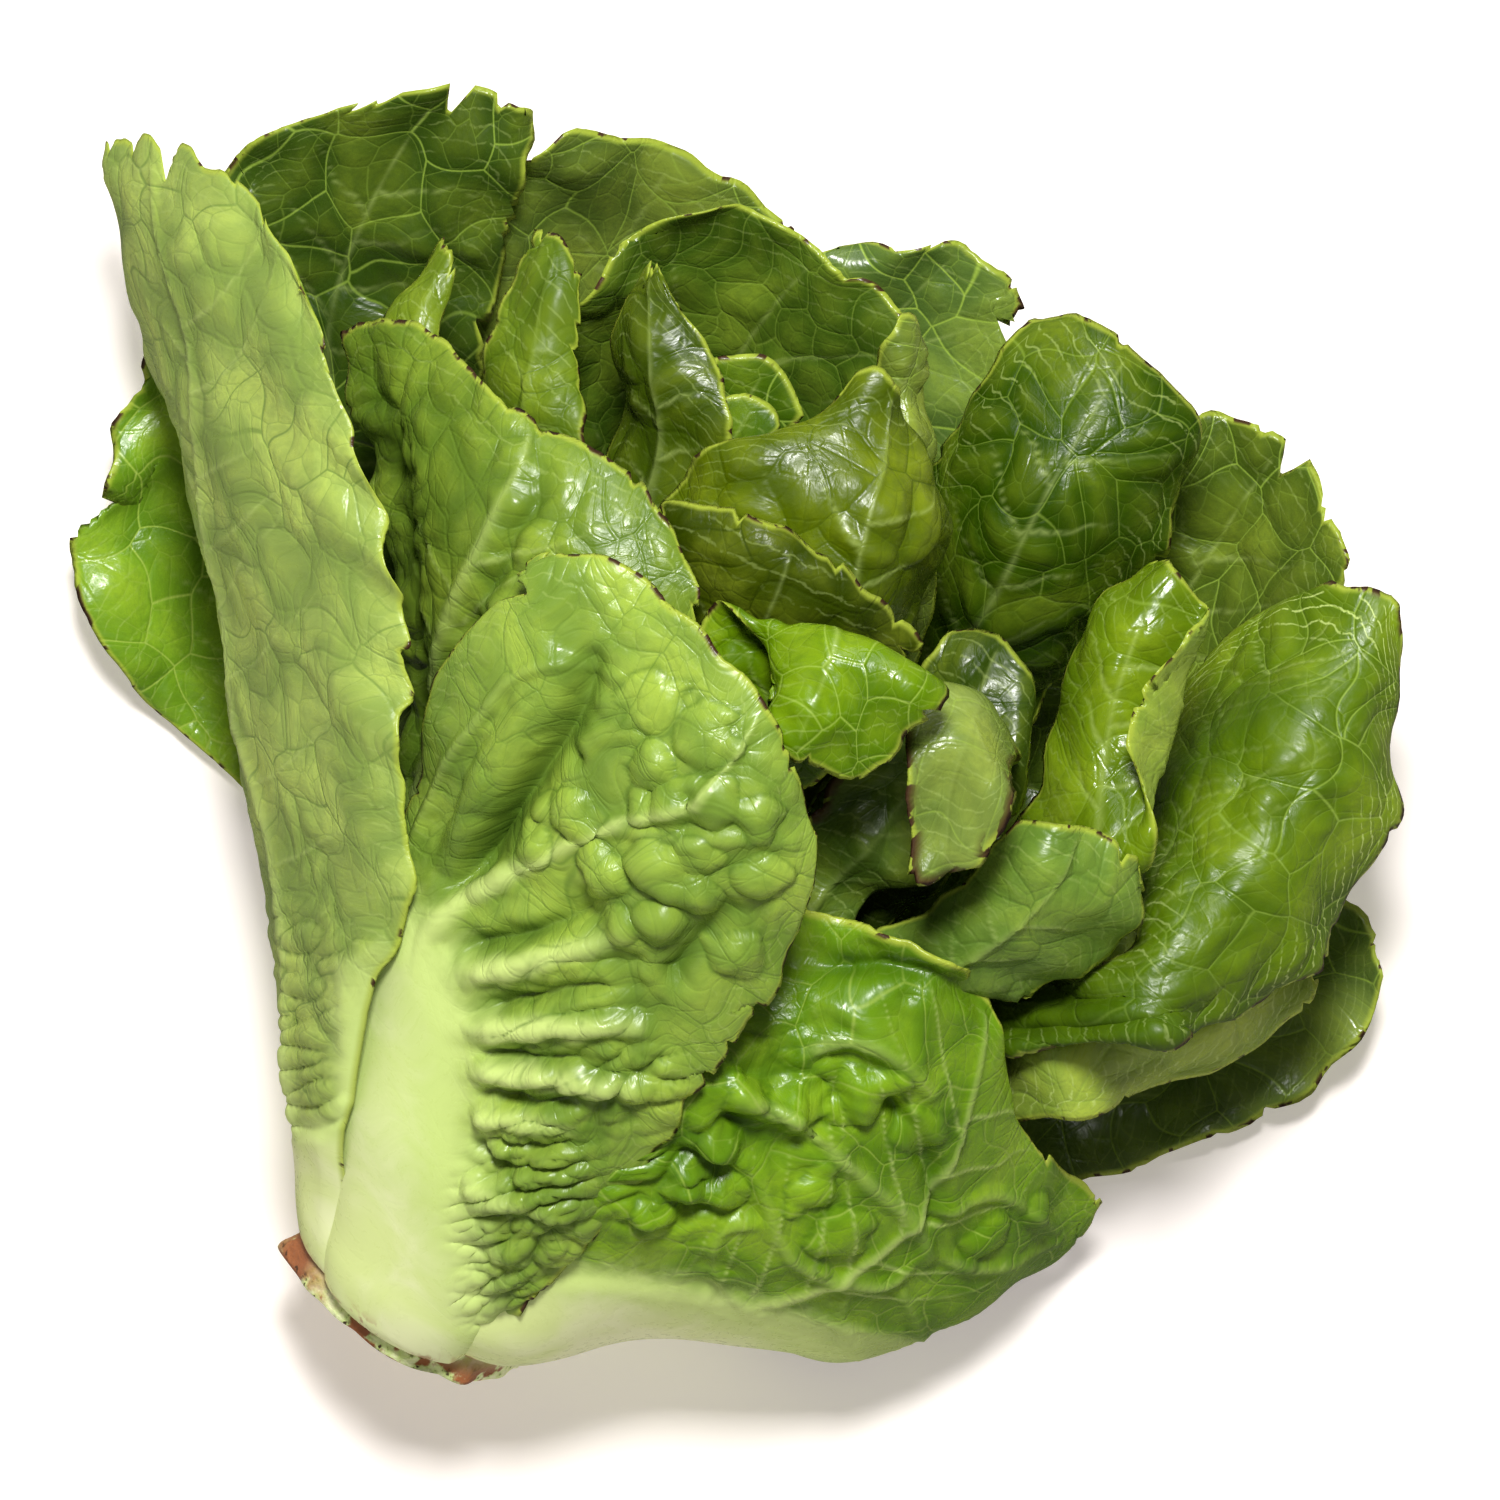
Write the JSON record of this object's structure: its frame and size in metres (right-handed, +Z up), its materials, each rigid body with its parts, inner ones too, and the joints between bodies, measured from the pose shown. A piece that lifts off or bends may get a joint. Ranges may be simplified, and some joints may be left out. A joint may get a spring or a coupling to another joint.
{
  "type": "little gem lettuce",
  "caption": "Whole small cut head of little gem lettuce lying on its side, with a cut stem, broad blistered outer leaves and a tight heart.",
  "frame": {"origin": "on the table plane, under the middle of the head's bounding box", "axes": "+Z up from the table it lies on, +Y from the cut stem towards the crown, +X across the head"},
  "size_m": [0.1986, 0.1582, 0.0944],
  "materials": {
    "stem_white": "satin",
    "outer_leaf_green": "satin",
    "deep_leaf_green": "satin",
    "heart_leaf_green": "satin"
  },
  "bodies": {
    "root": {"stem_core": "stem_white", "left_outer_leaf": "outer_leaf_green", "front_leaf": "outer_leaf_green", "front_second_leaf": "outer_leaf_green", "right_outer_leaf": "outer_leaf_green", "right_inner_leaf": "outer_leaf_green", "lower_left_leaf": "deep_leaf_green", "lower_right_leaf": "deep_leaf_green", "under_leaf": "deep_leaf_green", "far_left_leaf": "deep_leaf_green", "far_right_leaf": "deep_leaf_green", "far_middle_leaf": "deep_leaf_green", "far_inner_leaf": "deep_leaf_green", "right_ragged_leaf": "deep_leaf_green", "right_broad_leaf": "deep_leaf_green", "heart_back_leaf": "deep_leaf_green", "heart_side_leaf": "deep_leaf_green", "heart_dark_leaf": "deep_leaf_green", "right_rolled_leaf": "heart_leaf_green", "heart_bud_back": "heart_leaf_green", "heart_bud_front": "heart_leaf_green", "heart_rolled_leaf": "heart_leaf_green", "left_tiny_leaf": "heart_leaf_green", "left_narrow_leaf": "heart_leaf_green", "heart_front_leaf": "heart_leaf_green", "heart_collar_leaf": "heart_leaf_green", "folded_leaf": "heart_leaf_green", "bright_leaf": "heart_leaf_green"}
  },
  "joints": []
}
